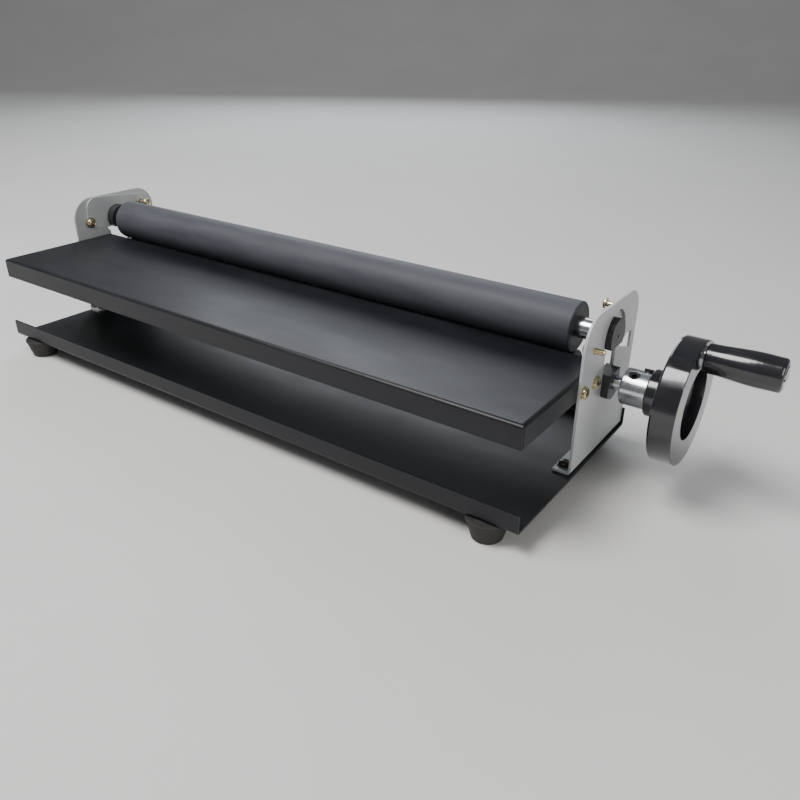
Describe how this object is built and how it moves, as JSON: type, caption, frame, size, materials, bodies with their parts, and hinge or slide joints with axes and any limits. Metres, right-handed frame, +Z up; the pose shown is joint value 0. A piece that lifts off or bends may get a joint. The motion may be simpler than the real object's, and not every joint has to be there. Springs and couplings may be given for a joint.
{
  "type": "tabletop roller press",
  "caption": "Hand-cranked tabletop press: two rubber rollers between side brackets, fixed feed table, folded steel tray, crank handwheel.",
  "frame": {"origin": "middle of the overall length and depth, on the bench plane under the rubber feet", "axes": "+X along the rollers towards the handwheel, +Y from the feeding side to the rear, +Z up"},
  "size_m": [0.781, 0.2202, 0.1546],
  "materials": {
    "black_powder_coat": "satin black powder coat with a fine orange-peel grain",
    "grey_paint": "light grey enamel",
    "foot_rubber": "matte black moulded rubber",
    "roller_rubber": "ground matte dark grey rubber",
    "core_steel": "turned steel",
    "black_plug": "blackened steel",
    "bright_steel": "ground bright steel",
    "black_nylon": "turned black nylon",
    "yellow_zinc": "yellow passivated zinc",
    "dark_zinc": "dark zinc",
    "zinc_steel": "turned and zinc-plated",
    "black_oxide": "black oxide",
    "gloss_black": "polished black thermoset",
    "spring_steel": "drawn wire"
  },
  "bodies": {
    "frame": {"base_tray": "black_powder_coat", "bracket_foot_nuts": "dark_zinc", "bracket_foot_screws": "dark_zinc", "bracket_foot_washers": "dark_zinc", "carrier_pivot_screws": "yellow_zinc", "carrier_pivot_washers": "yellow_zinc", "feed_table": "black_powder_coat", "foot_front_left": "foot_rubber", "foot_front_right": "foot_rubber", "foot_rear_left": "foot_rubber", "foot_rear_right": "foot_rubber", "foot_screws": "dark_zinc", "foot_washers": "dark_zinc", "lower_bush_left": "black_nylon", "lower_bush_right": "black_nylon", "side_bracket_left": "grey_paint", "side_bracket_right": "grey_paint", "table_nuts": "yellow_zinc", "table_screws": "yellow_zinc", "table_washers": "yellow_zinc", "tension_spring_left": "spring_steel", "tension_spring_right": "spring_steel"},
    "carriers": {"carrier_plate_left": "grey_paint", "carrier_plate_right": "grey_paint", "upper_bush_left": "black_nylon", "upper_bush_right": "black_nylon", "spring_posts": "yellow_zinc"},
    "upper_roller": {"upper_roller_shaft": "bright_steel", "upper_roller_core": "core_steel", "upper_roller_end_plugs": "black_plug", "upper_roller_cover": "roller_rubber"},
    "drive_roller": {"drive_roller_shaft": "bright_steel", "drive_roller_core": "core_steel", "drive_roller_end_plugs": "black_plug", "drive_roller_cover": "roller_rubber", "hub_sleeve": "zinc_steel", "sleeve_set_screws": "black_oxide", "handwheel": "gloss_black", "crank_spindle": "bright_steel", "crank_washer": "bright_steel"},
    "crank_handle": {"crank_grip": "gloss_black"}
  },
  "joints": [
    {"name": "nip_swing", "type": "hinge", "parent": "frame", "child": "carriers", "pos_m": [-0.0613, 0.009, 0.1262], "axis": [1, 0, 0], "range_deg": [0, 3.8], "stiffness_Nm_per_rad": 100.2, "deforming": ["tension_spring_left", "tension_spring_right"]},
    {"name": "upper_roller_spin", "type": "hinge", "parent": "carriers", "child": "upper_roller", "pos_m": [-0.0613, 0.047, 0.1267], "axis": [1, 0, 0], "continuous": true},
    {"name": "drive_spin", "type": "hinge", "parent": "frame", "child": "drive_roller", "pos_m": [-0.0613, 0.047, 0.0862], "axis": [1, 0, 0], "continuous": true},
    {"name": "grip_spin", "type": "hinge", "parent": "drive_roller", "child": "crank_handle", "pos_m": [0.3587, 0.05021, 0.12527], "axis": [1, 0, 0], "continuous": true}
  ],
  "couplings": [
    {"joint": "upper_roller_spin", "follows": "drive_spin", "ratio": -0.86977}
  ]
}
